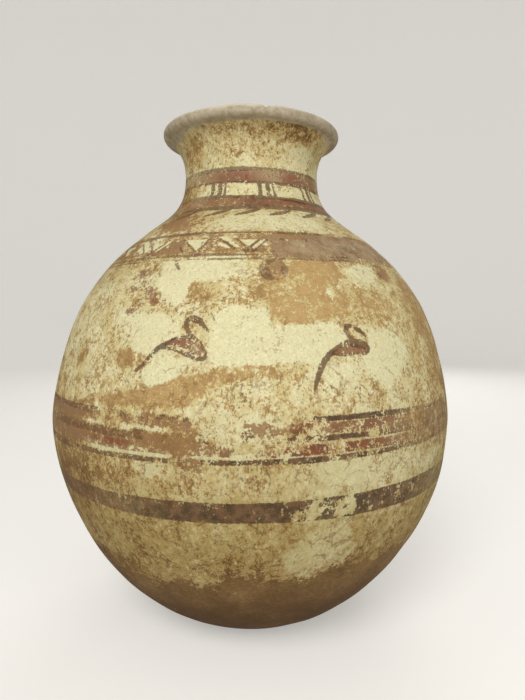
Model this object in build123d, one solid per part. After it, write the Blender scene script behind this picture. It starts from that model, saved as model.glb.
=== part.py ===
"""Round-bellied storage jar of fired clay, built up the way a potter builds it.

A flat base pad carries a stack of clay rings, each seated on the bevelled edge
of the piece below it, up to the neck, the flared mouth and a rolled lip.
Millimetres, +Z up, the base rests on Z = 0 and Z is the axis of the jar.
"""
import os
from math import cos, radians, sin

from build123d import *

# Base
base_radius = 66.0
base_thickness = 15.0
base_slope = 16.3
base_edge_round = 25.0

# Belly, the widest place, by its height above the base
belly_radius = 198.1
belly_height = 203.0
belly_wall = 10.0

# Shoulder, where the wall turns in towards the neck, by its rise above the belly
shoulder_radius = 169.7
shoulder_rise = 109.6
shoulder_slope = 59.1
shoulder_wall = 9.5

# Throat, the narrowest place of the neck, by its rise above the shoulder
throat_radius = 67.4
throat_rise = 127.4
throat_wall = 9.0

# Flare, from the throat up and out to the underside of the lip
flare_rise = 34.5
flare_out = 14.1
flare_slope = 40.0

# Lip, a round roll with a flat land on top
lip_rise = 11.0
lip_out = 7.7
lip_roll = 5.6
lip_land = 8.1
mouth_slope = 62.0
mouth_edge_round = 2.5

# How far each curve holds its direction, which sets how full it looks
base_reach = 71.3
belly_reach_down = 91.3
belly_reach_up = 33.7
shoulder_reach_down = 25.2
shoulder_reach_up = 98.9
throat_reach_down = 60.0
throat_reach_up = 14.0
flare_reach = 12.0
mouth_reach = 14.0

# Heights of the rings: the foot is measured up from the base and the neck down
# from the lip, and the body rings share what lies between
foot_course = 30.0
lip_collar = 10.5
throat_course = 32.0
neck_course = 34.0
upper_shoulder_course = 36.0
body_rings = [
    "heel_ring",
    "lower_wall_ring",
    "lower_belly_ring",
    "belly_ring",
    "upper_belly_ring",
    "lower_shoulder_ring",
    "shoulder_ring",
]

# Joints slope down to the outside, so that each ring centres on the one below
joint_bevel = 25.0
cutter_overrun = 14.0

# Places that follow from the sizes above
shoulder_height = belly_height + shoulder_rise
throat_height = shoulder_height + throat_rise
flare_height = throat_height + flare_rise
rim_height = flare_height + lip_rise
flare_radius = throat_radius + flare_out
lip_radius = flare_radius + lip_out
mouth_radius = lip_radius - lip_roll - lip_land

OUTWARD = 0.0
UPWARD = 90.0
DOWNWARD = -90.0
HALF_TURN = 180.0
SEARCH_STEPS = 60


def heading(angle):
    """Unit vector in the section plane, X is the radius and Y the height."""
    return Vector(cos(radians(angle)), sin(radians(angle)))


def sweep(start, start_angle, start_reach, end, end_angle, end_reach):
    """Smooth curve that leaves and arrives in the given directions."""
    leave = start + heading(start_angle) * start_reach
    arrive = end - heading(end_angle) * end_reach
    return Bezier(start, leave, arrive, end)


def follow(outer, start, start_angle, start_reach, end, end_angle, end_reach):
    """Inside curve that keeps the fullness of the outside curve beside it."""
    chord = (outer.position_at(1) - outer.position_at(0)).length
    share = (end - start).length / chord
    return sweep(start, start_angle, start_reach * share, end, end_angle, end_reach * share)


def outer_curves():
    """Outside of the jar, from the edge of the base up to the lip."""
    base = Vector(base_radius, 0)
    belly = Vector(belly_radius, belly_height)
    shoulder = Vector(shoulder_radius, shoulder_height)
    throat = Vector(throat_radius, throat_height)
    flare = Vector(flare_radius, flare_height)
    turn_in = HALF_TURN - shoulder_slope
    return [
        sweep(base, base_slope, base_reach, belly, UPWARD, belly_reach_down),
        sweep(belly, UPWARD, belly_reach_up, shoulder, turn_in, shoulder_reach_down),
        sweep(shoulder, turn_in, shoulder_reach_up, throat, UPWARD, throat_reach_down),
        sweep(throat, UPWARD, throat_reach_up, flare, flare_slope, flare_reach),
    ]


def inner_curves(outer):
    """Inside of the jar, from the floor of the base up to the mouth."""
    lower, upper, neck, flare = outer
    turn_in = HALF_TURN - shoulder_slope
    inward = heading(turn_in + UPWARD)
    floor = Vector(base_radius, base_thickness)
    belly = Vector(belly_radius - belly_wall, belly_height)
    shoulder = Vector(shoulder_radius, shoulder_height) + inward * shoulder_wall
    throat = Vector(throat_radius - throat_wall, throat_height)
    mouth = Vector(mouth_radius, rim_height)
    return [
        follow(lower, floor, base_slope, base_reach, belly, UPWARD, belly_reach_down),
        follow(upper, belly, UPWARD, belly_reach_up, shoulder, turn_in, shoulder_reach_down),
        follow(neck, shoulder, turn_in, shoulder_reach_up, throat, UPWARD, throat_reach_down),
        follow(flare, throat, UPWARD, throat_reach_up, mouth, mouth_slope, mouth_reach),
    ]


def lip_curves():
    """Roll of the lip, from its flat land over the edge and back to the flare."""
    land = Vector(lip_radius - lip_roll, rim_height)
    widest = Vector(lip_radius, rim_height - lip_roll)
    flare = Vector(flare_radius, flare_height)
    over = TangentArc(land, widest, tangent=heading(OUTWARD))
    under = TangentArc(widest, flare, tangent=heading(DOWNWARD))
    return [over, under]


def wall_section(outer, inner):
    """Half section through the whole wall, with the base and the rolled lip."""
    base = outer[0].position_at(0)
    floor = inner[0].position_at(0)
    mouth = inner[-1].position_at(1)
    lip = lip_curves()
    closing = [
        Line(mouth, lip[0].position_at(0)),
        Line(floor, Vector(0, base_thickness)),
        Line(Vector(0, base_thickness), Vector(0, 0)),
        Line(Vector(0, 0), base),
    ]
    section = make_face(outer + inner + lip + closing)
    section = fillet(corner(section, base), base_edge_round)
    return fillet(corner(section, mouth), mouth_edge_round)


def corner(section, point):
    """The one corner of the section that lies at a point."""
    return section.vertices().sort_by_distance(point)[0]


def place_at(outer, height):
    """Point and direction of the outside curve at a height."""
    for curve in outer:
        if height <= curve.position_at(1).Y:
            break
    low = 0.0
    high = 1.0
    for step in range(SEARCH_STEPS):
        middle = (low + high) / 2
        if curve.position_at(middle).Y < height:
            low = middle
        else:
            high = middle
    return curve.position_at(low), curve.tangent_at(low)


def joint_line(outer, height):
    """Ends of a joint, inside and outside the wall, sloping down to the outside."""
    point, along = place_at(outer, height)
    inward = along.rotate(Axis.Z, UPWARD - joint_bevel)
    inside = point + inward * (base_thickness + cutter_overrun)
    outside = point - inward * cutter_overrun
    return inside, outside


def pad_joint():
    """Ends of the joint round the base pad, through the edge of the floor."""
    floor_edge = Vector(base_radius, base_thickness)
    inward = heading(UPWARD + joint_bevel)
    inside = floor_edge + inward * cutter_overrun
    outside = floor_edge - inward * (base_thickness + cutter_overrun)
    return inside, outside


def turned(section, *outline):
    """One full turn, about the axis, of the wall inside an outline."""
    window = make_face(Polyline(*outline, close=True))
    return revolve(Plane.XZ * (section & window), Axis.Z)


def base_pad(section, joint):
    """Flat disc that is the floor of the jar."""
    inside, outside = joint
    return turned(section, Vector(0, inside.Y), inside, outside, Vector(0, outside.Y))


def ring(section, lower_joint, upper_joint):
    """Ring of the wall between two joints."""
    lower_inside, lower_outside = lower_joint
    upper_inside, upper_outside = upper_joint
    return turned(section, lower_inside, lower_outside, upper_outside, upper_inside)


def rim_lip(section, joint):
    """Flared mouth above the last joint, with its rolled lip."""
    inside, outside = joint
    over = rim_height + cutter_overrun
    beyond = lip_radius + cutter_overrun
    return turned(
        section, inside, outside, Vector(beyond, outside.Y), Vector(beyond, over), Vector(inside.X, over))


def jar():
    """Every piece of the jar by name, from the base up."""
    outer = outer_curves()
    section = wall_section(outer, inner_curves(outer))
    lip_joint = flare_height - lip_collar
    throat_joint = lip_joint - throat_course
    neck_joint = throat_joint - neck_course
    upper_shoulder_joint = neck_joint - upper_shoulder_course
    body_course = (upper_shoulder_joint - foot_course) / len(body_rings)
    heights = [foot_course + body_course * step for step in range(len(body_rings) + 1)]
    heights += [neck_joint, throat_joint, lip_joint]
    joints = [pad_joint()] + [joint_line(outer, height) for height in heights]
    pieces = {"base_pad": base_pad(section, joints[0])}
    names = ["foot_ring"] + body_rings + ["upper_shoulder_ring", "neck_ring", "throat_ring"]
    for name, lower, upper in zip(names, joints, joints[1:]):
        pieces[name] = ring(section, lower, upper)
    pieces["rim_lip"] = rim_lip(section, joints[-1])
    return pieces


os.makedirs("parts", exist_ok=True)
for name, piece in jar().items():
    export_step(piece, f"parts/{name}.step")
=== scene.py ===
"""Looks of a painted storage jar: worn cream slip over clay, with red and dark brushwork.

Sizes on the jar are millimetres and degrees. Angle 0 faces the camera, and angles grow to the right.
"""
from collections import namedtuple
from math import cos, pi, radians, sin

import bpy
import numpy as np
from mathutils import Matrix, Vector


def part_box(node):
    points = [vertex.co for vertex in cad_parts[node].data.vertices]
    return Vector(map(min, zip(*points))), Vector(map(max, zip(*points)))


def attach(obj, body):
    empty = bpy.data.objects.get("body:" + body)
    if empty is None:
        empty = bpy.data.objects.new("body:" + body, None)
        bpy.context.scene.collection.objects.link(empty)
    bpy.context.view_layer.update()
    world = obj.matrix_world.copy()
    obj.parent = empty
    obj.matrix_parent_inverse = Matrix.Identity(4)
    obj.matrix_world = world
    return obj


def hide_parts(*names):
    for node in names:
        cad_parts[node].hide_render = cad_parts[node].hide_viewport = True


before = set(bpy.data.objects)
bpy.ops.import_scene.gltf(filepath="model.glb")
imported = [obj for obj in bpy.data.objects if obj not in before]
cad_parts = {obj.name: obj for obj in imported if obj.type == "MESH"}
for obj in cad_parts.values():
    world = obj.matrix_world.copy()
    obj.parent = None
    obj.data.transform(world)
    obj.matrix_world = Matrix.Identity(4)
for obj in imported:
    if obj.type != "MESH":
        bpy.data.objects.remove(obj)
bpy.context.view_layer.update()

MM = 0.001
SEED = 11

# A soft-edged patch of the wall: wide and tall are half its size, in degrees and millimetres
Patch = namedtuple("Patch", "angle height wide tall amount")

# Outline of the wall, on the same curves as the solids
Turn = namedtuple("Turn", "radius height heading before after")
OUTSIDE = [
    Turn(66.0, 0.0, 16.3, 0.0, 71.3),
    Turn(198.1, 203.0, 90.0, 91.3, 33.7),
    Turn(169.7, 312.6, 120.9, 25.2, 98.9),
    Turn(67.4, 440.0, 90.0, 60.0, 14.0),
    Turn(81.5, 474.5, 40.0, 12.0, 0.0),
]
BASE_THICKNESS = 15.0
BELLY_HEIGHT = 203.0
BELLY_WALL = 10.0
SHOULDER_WALL = 9.5
THROAT_WALL = 9.0
RIM_HEIGHT = 485.5
LIP_RADIUS = 89.2
LIP_ROLL = 5.6
LIP_LAND = 8.1
MOUTH_HEADING = 62.0
MOUTH_REACH = 14.0
MOUTH_ROUND = 2.5

RINGS = [
    "foot_ring", "heel_ring", "lower_wall_ring", "lower_belly_ring", "belly_ring", "upper_belly_ring",
    "lower_shoulder_ring", "shoulder_ring", "upper_shoulder_ring", "neck_ring", "throat_ring",
]

# How finely the skin is divided
COLUMN_WIDTH = 1.05
OUTSIDE_STEP = 1.15
INSIDE_STEP = 2.6
JOINT_STEP = 2.6
CURVE_STEPS = 400
ARC_STEPS = 40
EDGE_STEPS = 12
POINTS_INTO_MOUTH = 12
MERGE_WITHIN = 0.01
CRISP_CORNER = 0.6

# How the hand-built wall departs from a true turning, and the heights between which that fades
LOPSIDED = 0.8
LOPSIDED_SCALE = 3.5
UNDULATION = 0.3
UNDULATION_SCALE = 32.0
FULL_SWING = 4.0
FINGER_RIDGES = 0.7
FINGER_PITCH = 13.0
RIDGE_DRIFT = 1.6
RIDGE_DRIFT_SCALE = 9.0
FLAT_BASE = (1.0, 20.0)
CALM_RIM = (RIM_HEIGHT - 50, RIM_HEIGHT - 12)
RIDGES_END = (RIM_HEIGHT - 30, RIM_HEIGHT - 70)


def heading(angle):
    """Direction in the section, across and up."""
    return np.array([cos(radians(angle)), sin(radians(angle))])


def curve_between(low, high):
    """Points of the smooth curve from one turn of the outline to the next."""
    start = np.array([low.radius, low.height])
    end = np.array([high.radius, high.height])
    leave = start + heading(low.heading) * low.after
    arrive = end - heading(high.heading) * high.before
    t = np.linspace(0, 1, CURVE_STEPS)[:, None]
    s = 1 - t
    return s**3 * start + 3 * s * s * t * leave + 3 * s * t * t * arrive + t**3 * end


def joined_curves(turns):
    curves = [curve_between(low, high) for low, high in zip(turns, turns[1:])]
    return np.vstack(curves[:1] + [curve[1:] for curve in curves[1:]])


def chord(low, high):
    return np.hypot(high.radius - low.radius, high.height - low.height)


def inside_turns():
    """Turns of the inside, set in from the outside by the wall and equally full."""
    base, belly, shoulder, throat = OUTSIDE[:-1]
    inward = heading(shoulder.heading + 90) * SHOULDER_WALL
    turns = [
        base._replace(height=BASE_THICKNESS),
        belly._replace(radius=belly.radius - BELLY_WALL),
        shoulder._replace(radius=shoulder.radius + inward[0], height=shoulder.height + inward[1]),
        throat._replace(radius=throat.radius - THROAT_WALL),
        Turn(LIP_RADIUS - LIP_ROLL - LIP_LAND, RIM_HEIGHT, MOUTH_HEADING, MOUTH_REACH, 0.0),
    ]
    for i in range(len(turns) - 1):
        share = chord(turns[i], turns[i + 1]) / chord(OUTSIDE[i], OUTSIDE[i + 1])
        turns[i] = turns[i]._replace(after=turns[i].after * share)
        if i + 1 < len(turns) - 1:
            turns[i + 1] = turns[i + 1]._replace(before=turns[i + 1].before * share)
    return turns


def arc(centre, radius, start, end, steps=ARC_STEPS):
    angles = np.radians(np.linspace(start, end, steps))
    return np.column_stack([centre[0] + radius * np.cos(angles), centre[1] + radius * np.sin(angles)])


def lip_curve():
    """Underside of the roll, round its widest place, over the flat land and into the mouth."""
    flare = OUTSIDE[-1]
    middle = RIM_HEIGHT - LIP_ROLL
    out = LIP_RADIUS - flare.radius
    drop = middle - flare.height
    under = (out * out + drop * drop) / (2 * out)
    first = -np.degrees(np.arcsin(min(1.0, drop / under)))
    lower = arc((LIP_RADIUS - under, middle), under, first, 0)
    upper = arc((LIP_RADIUS - LIP_ROLL, middle), LIP_ROLL, 0, 90)
    mouth = np.array([LIP_RADIUS - LIP_ROLL - LIP_LAND, RIM_HEIGHT])
    before = mouth + np.array([MOUTH_ROUND, 0])
    after = mouth - heading(MOUTH_HEADING) * MOUTH_ROUND
    t = np.linspace(0, 1, EDGE_STEPS)[:, None]
    edge = (1 - t)**2 * before + 2 * t * (1 - t) * mouth + t * t * after
    return np.vstack([lower[1:], upper[1:], edge])


def evenly(points, step):
    """The same line with points about one step apart."""
    run = np.concatenate([[0], np.cumsum(np.hypot(*np.diff(points, axis=0).T))])
    count = max(2, int(round(run[-1] / step)) + 1)
    at = np.linspace(0, run[-1], count)
    return np.column_stack([np.interp(at, run, points[:, 0]), np.interp(at, run, points[:, 1])])


def stretch(line, low, high):
    """Part of a rising line between two heights, with its ends exactly there."""
    ends = [np.array([np.interp(z, line[:, 1], line[:, 0]), z]) for z in (low, high)]
    between = line[(line[:, 1] > low) & (line[:, 1] < high)]
    return np.vstack([ends[0], between, ends[1]])


OUTER_LINE = joined_curves(OUTSIDE)
INNER_LINE = joined_curves(inside_turns())
OUTER_RUN = np.concatenate([[0], np.cumsum(np.hypot(*np.diff(OUTER_LINE, axis=0).T))])


def radius_at(height):
    return np.interp(height, OUTER_LINE[:, 1], OUTER_LINE[:, 0])


def run_at(height):
    """Distance along the outside from the base up to a height."""
    return np.interp(height, OUTER_LINE[:, 1], OUTER_RUN)


# Sections of the clay rings between their joints
def ring_section(outer_low, outer_high, inner_low, inner_high):
    """Closed section of a ring, and how far each point of it is to the inside."""
    outer = evenly(stretch(OUTER_LINE, outer_low, outer_high), OUTSIDE_STEP)
    inner = evenly(stretch(INNER_LINE, inner_low, inner_high), INSIDE_STEP)[::-1]
    upper = evenly(np.vstack([outer[-1], inner[0]]), JOINT_STEP)[1:-1]
    lower = evenly(np.vstack([inner[-1], outer[0]]), JOINT_STEP)[1:-1]
    shares = [
        np.zeros(len(outer)), np.linspace(0, 1, len(upper)),
        np.ones(len(inner)), np.linspace(1, 0, len(lower)),
    ]
    return np.vstack([outer, upper, inner, lower]), np.concatenate(shares)


def lip_section(outer_low, inner_low):
    """Closed section of the rim, from its joint over the lip and down into the mouth."""
    outer = stretch(OUTER_LINE, outer_low, OUTSIDE[-1].height)
    inner = stretch(INNER_LINE, inner_low, RIM_HEIGHT)[::-1]
    roll = lip_curve()
    inner = inner[inner[:, 1] < roll[-1, 1]]
    skin = evenly(np.vstack([outer, roll, inner]), OUTSIDE_STEP)
    joint = evenly(np.vstack([skin[-1], skin[0]]), JOINT_STEP)[1:-1]
    top = int(np.argmax(skin[:, 1]))
    into_mouth = np.clip(np.arange(len(skin) - top) / POINTS_INTO_MOUTH, 0, 1)
    shares = [np.zeros(top), into_mouth, np.linspace(1, 0, len(joint))]
    return np.vstack([skin, joint]), np.concatenate(shares)


def pad_section(edge_height):
    """Open section of the base pad, from the middle of its underside to the middle of the floor."""
    edge = stretch(OUTER_LINE, 0, edge_height)
    floor_edge = np.array([OUTSIDE[0].radius, BASE_THICKNESS])
    under = evenly(np.array([[0, 0], edge[0]]), INSIDE_STEP)
    bevel = evenly(np.vstack([edge[-1], floor_edge]), JOINT_STEP)
    floor = evenly(np.vstack([floor_edge, [0, BASE_THICKNESS]]), INSIDE_STEP)
    points = np.vstack([under, edge[1:-1], bevel, floor[1:]])
    share = np.where(np.arange(len(points)) < len(points) - len(floor), 0.0, 1.0)
    return points, share


# Helpers that wire the nodes of the wall and of the finishes
def feed(tree, socket, value):
    """Link a socket to another one, or set it to a plain value."""
    if isinstance(value, bpy.types.NodeSocket):
        tree.links.new(value, socket)
    else:
        socket.default_value = value


def wire(tree, kind, values=None, **settings):
    """A new node with its settings, and its inputs either linked or set."""
    made = tree.nodes.new(kind)
    for name, value in settings.items():
        setattr(made, name, value)
    for name, value in (values or {}).items():
        feed(tree, made.inputs[name], value)
    return made


def new_group(name, kind, inputs, outputs):
    """A node group with named sockets, what it is given and what it puts out."""
    group = bpy.data.node_groups.new(name, kind)
    for in_out, sockets in (("INPUT", inputs), ("OUTPUT", outputs)):
        for label, holds in sockets.items():
            group.interface.new_socket(label, in_out=in_out, socket_type="NodeSocket" + holds)
    given = group.nodes.new("NodeGroupInput").outputs
    out = group.nodes.new("NodeGroupOutput").inputs
    return group, given, out


def use_group(tree, group, values):
    return wire(tree, "ShaderNodeGroup", values, node_tree=group).outputs


def sums(tree, operation, *values, clamp=False):
    made = wire(tree, "ShaderNodeMath", dict(enumerate(values)), operation=operation, use_clamp=clamp)
    return made.outputs[0]


def times(tree, first, *others):
    for other in others:
        first = sums(tree, "MULTIPLY", first, other)
    return first


def plus(tree, first, *others):
    for other in others:
        first = sums(tree, "ADD", first, other)
    return first


def vector_sums(tree, operation, *values):
    sockets = [0, "Scale" if operation == "SCALE" else 1]
    return wire(tree, "ShaderNodeVectorMath", dict(zip(sockets, values)), operation=operation).outputs[0]


def blended(tree, share, first, second, how="MIX"):
    """A colour that goes from the first to the second by a share."""
    made = wire(tree, "ShaderNodeMix", {0: share, 6: first, 7: second}, data_type="RGBA", blend_type=how)
    return made.outputs[2]


def eased(tree, value, low, high, start=0.0, end=1.0):
    """A value taken smoothly from one range to another."""
    made = wire(tree, "ShaderNodeMapRange", {
        "Value": value, "From Min": low, "From Max": high, "To Min": start, "To Max": end,
    }, interpolation_type="SMOOTHSTEP")
    return made.outputs["Result"]


def cloud(tree, place, scale, detail=2.0, roughness=0.5):
    made = wire(tree, "ShaderNodeTexNoise", {
        "Vector": place, "Scale": scale, "Detail": detail, "Roughness": roughness,
    }, noise_dimensions="3D")
    return made.outputs[0]


def about_zero(tree, value, size):
    return times(tree, sums(tree, "SUBTRACT", value, 0.5), size)


def seeded_cloud(tree, place, scale, size, seed):
    """Soft noise about zero that a seed changes."""
    made = wire(tree, "ShaderNodeTexNoise", {
        "Vector": place, "W": seed, "Scale": scale, "Detail": 0.0,
    }, noise_dimensions="4D")
    return about_zero(tree, made.outputs[0], size)


def height_of(tree, place):
    return wire(tree, "ShaderNodeSeparateXYZ", {"Vector": place}).outputs["Z"]


# Geometry nodes that turn a section round the axis and give the wall its hand-made unevenness
def fade(tree, height, limits, start=0.0, end=1.0):
    """A value that changes smoothly between two heights."""
    low, high = limits
    return eased(tree, height, low * MM, high * MM, start, end)


def hand_made(tree, given, place):
    """How far the wall lies off a true turning: leaning, uneven, and ridged by fingers on the inside."""
    height = height_of(tree, place)
    inside = wire(tree, "GeometryNodeInputNamedAttribute", {"Name": "inside"}, data_type="FLOAT")
    lean = seeded_cloud(tree, place, LOPSIDED_SCALE, FULL_SWING, given["Seed"])
    swell = seeded_cloud(tree, place, UNDULATION_SCALE, FULL_SWING, given["Seed"])
    drift = seeded_cloud(tree, place, RIDGE_DRIFT_SCALE, RIDGE_DRIFT, given["Seed"])
    turns = plus(tree, sums(tree, "DIVIDE", height, given["Finger Pitch"]), drift)
    ridge = sums(tree, "SINE", times(tree, turns, 2 * pi))
    ridges = times(tree, ridge, given["Finger Ridges"], inside.outputs[0])
    leaning = times(tree, lean, given["Lopsided"])
    uneven_wall = plus(tree, leaning, times(tree, swell, given["Undulation"]))
    clear_of_base = fade(tree, height, FLAT_BASE)
    below_rim = fade(tree, height, CALM_RIM, 1.0, 0.0)
    deep_inside = fade(tree, height, RIDGES_END)
    return plus(tree,
                times(tree, uneven_wall, clear_of_base, below_rim),
                times(tree, ridges, clear_of_base, deep_inside))


def turning_tree():
    """Tree that turns a section into a ring of clay."""
    sizes = ["Core Radius", "Lopsided", "Undulation", "Finger Ridges", "Finger Pitch", "Seed"]
    tree, given, out = new_group("turned_clay", "GeometryNodeTree", {
        "Geometry": "Geometry", "Columns": "Int", **dict.fromkeys(sizes, "Float"), "Material": "Material",
    }, {"Geometry": "Geometry"})
    section = wire(tree, "GeometryNodeMeshToCurve", {"Mesh": given["Geometry"]})
    circle = wire(tree, "GeometryNodeCurvePrimitiveCircle", {
        "Resolution": given["Columns"], "Radius": given["Core Radius"],
    })
    turned = wire(tree, "GeometryNodeCurveToMesh", {
        "Curve": circle.outputs["Curve"], "Profile Curve": section.outputs["Curve"],
    })
    closed = wire(tree, "GeometryNodeMergeByDistance", {
        "Geometry": turned.outputs["Mesh"], "Distance": MERGE_WITHIN * MM,
    })

    place = tree.nodes.new("GeometryNodeInputPosition").outputs[0]
    from_heart = vector_sums(tree, "SUBTRACT", place, (0, 0, BELLY_HEIGHT * MM))
    outward = vector_sums(tree, "NORMALIZE", from_heart)
    moved = wire(tree, "GeometryNodeSetPosition", {
        "Geometry": closed.outputs[0],
        "Offset": vector_sums(tree, "SCALE", outward, hand_made(tree, given, place)),
    })
    facing_out = wire(tree, "GeometryNodeFlipFaces", {"Mesh": moved.outputs[0]})

    bend = tree.nodes.new("GeometryNodeInputMeshEdgeAngle").outputs[0]
    smooth = wire(tree, "GeometryNodeSetShadeSmooth", {
        "Geometry": facing_out.outputs[0], "Shade Smooth": True,
    })
    crisp = wire(tree, "GeometryNodeSetShadeSmooth", {
        "Geometry": smooth.outputs[0], "Selection": sums(tree, "GREATER_THAN", bend, CRISP_CORNER),
        "Shade Smooth": False,
    }, domain="EDGE")
    real = wire(tree, "GeometryNodeRealizeInstances", {"Geometry": crisp.outputs[0]})
    finished = wire(tree, "GeometryNodeSetMaterial", {
        "Geometry": real.outputs[0], "Material": given["Material"],
    })
    feed(tree, out["Geometry"], finished.outputs[0])
    return tree


def set_inputs(modifier, values):
    """Set a modifier's inputs by the names that its tree gives them."""
    for item in modifier.node_group.interface.items_tree:
        if item.in_out == "INPUT" and item.name in values:
            modifier[item.identifier] = values[item.name]


# Hand-made faults of this jar: a flatter left side, a fuller right flank, a tilted rim, a belly a hair
# slimmer than turned, and chips of the lip
PRESSED = [
    Patch(-90, 312, 62, 80, -1.9), Patch(-90, 128, 62, 40, -1.2), Patch(90, 135, 62, 42, 1.2),
    Patch(90, 486, 80, 24, -1.5), Patch(0, BELLY_HEIGHT, 400, 70, -0.1),
]
CHIPS = [
    Patch(8.6, 486, 1.6, 5.5, -2.2), Patch(-38, 486, 2.4, 4.0, -0.8), Patch(131, 486, 3.0, 5.0, -1.3),
]


def turn_section(name, section, closed, tree, material, **amounts):
    """Plain mesh object of a section turned round the axis."""
    points, share = section
    core = float(points[:, 0].max())
    flat = np.column_stack([points[:, 0] - core, -points[:, 1], np.zeros(len(points))]) * MM
    count = len(points)
    edges = [(i, i + 1) for i in range(count - 1)] + ([(count - 1, 0)] if closed else [])
    outline = bpy.data.meshes.new(name + "_section")
    outline.from_pydata(flat.tolist(), edges, [])
    outline.attributes.new("inside", "FLOAT", "POINT").data.foreach_set("value", share.astype(np.float32))
    piece = bpy.data.objects.new(name, outline)
    bpy.context.scene.collection.objects.link(piece)
    modifier = piece.modifiers.new("turned", "NODES")
    modifier.node_group = tree
    values = {
        "Columns": int(2 * pi * core / COLUMN_WIDTH), "Core Radius": core * MM, "Lopsided": LOPSIDED * MM,
        "Undulation": UNDULATION * MM, "Finger Ridges": FINGER_RIDGES * MM,
        "Finger Pitch": FINGER_PITCH * MM, "Seed": float(SEED), "Material": material,
    }
    values.update(amounts)
    set_inputs(modifier, values)
    evaluated = piece.evaluated_get(bpy.context.evaluated_depsgraph_get())
    solid = bpy.data.meshes.new_from_object(evaluated)
    solid.name = name
    piece.modifiers.remove(modifier)
    piece.data = solid
    bpy.data.meshes.remove(outline)
    return piece


# Brushwork: every painted edge is kept on the skin as a distance, below zero inside the paint.
# A stroke is a list of marks: how far across and up from the middle, and half the brush's width.
Band = namedtuple("Band", "low high low_tilt high_tilt", defaults=(0.0, 0.0))
Motif = namedtuple("Motif", "strokes angles height reach")
Skin = namedtuple("Skin", "angle height run")
FAR = 60.0
LINE_WOBBLE = 0.55
STROKE_PARTS = 5
TINY = 1e-6

# Waves in a turn, the size of each and how far the start shifts it, for the unsteady hand
HAND_WAVES = [(2, 1.0, 1.7), (5, 0.7, 3.9), (11, 0.5, 5.2), (23, 0.35, 7.7)]
WAVES_TOGETHER = 1.6

# Where the unsteadiness of the hand starts, for the dark lines, the red ones, the frieze and the slip
DARK_TURN = 0
RED_TURN = 40
FRIEZE_TURN = 31
SLIP_TURN = 3.3
UPPER_EDGE_TURN = 0.7


def round_the_jar(count, first):
    """Angles of motifs set evenly round the jar."""
    return [first + 360 / count * i for i in range(count)]


# Painted lines round the jar, by the heights of their edges and how far those rise to the right
DARK_BANDS = [
    Band(432.4, 435.6, 0.0, -1.0), Band(420.2, 422.6, -1.5, -1.0), Band(405.2, 409.0, -2.0, -2.0),
    Band(394.0, 398.2), Band(367.4, 369.6), Band(347.2, 349.4), Band(344.6, 345.9),
    Band(225.8, 229.6, -1.2, -1.8), Band(211.0, 217.0, 0.0, -1.8), Band(196.0, 200.4, 3.4, 3.0),
    Band(151.6, 168.2, 0.4, 3.0),
]
RED_BANDS = [
    Band(421.8, 432.8, -1.0, 0.0), Band(397.6, 405.6, -1.0, -1.0),
    Band(217.6, 225.8, -3.0, -1.2), Band(202.2, 210.0, 1.0, 0.0),
]

# Groups of upright strokes between the two red bands of the neck
PANEL_HEIGHT = 414.5
PANEL_ANGLES = round_the_jar(10, 10.8)
PANEL_STROKES = [
    [(-6.6, 7.0, 2.0), (-5.8, 0.0, 1.7), (-5.6, -7.5, 2.0)],
    [(1.0, 7.0, 2.0), (1.8, 0.0, 2.4), (2.2, -7.5, 2.2)],
    [(6.6, 7.0, 1.2), (7.0, 0.0, 1.2), (7.8, -7.5, 1.5)],
]

# Slanted dashes under the neck
DASH_HEIGHT = 390.4
DASH_ANGLES = [-18.5, -2.0, 16.0, 35.0, 51.0] + [68.0 + 18.0 * i for i in range(15)]
DASH = [[(-10.0, -4.8, 1.5), (-4.0, -2.2, 2.5), (3.5, 1.4, 2.6), (10.0, 5.0, 1.6)]]

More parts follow.
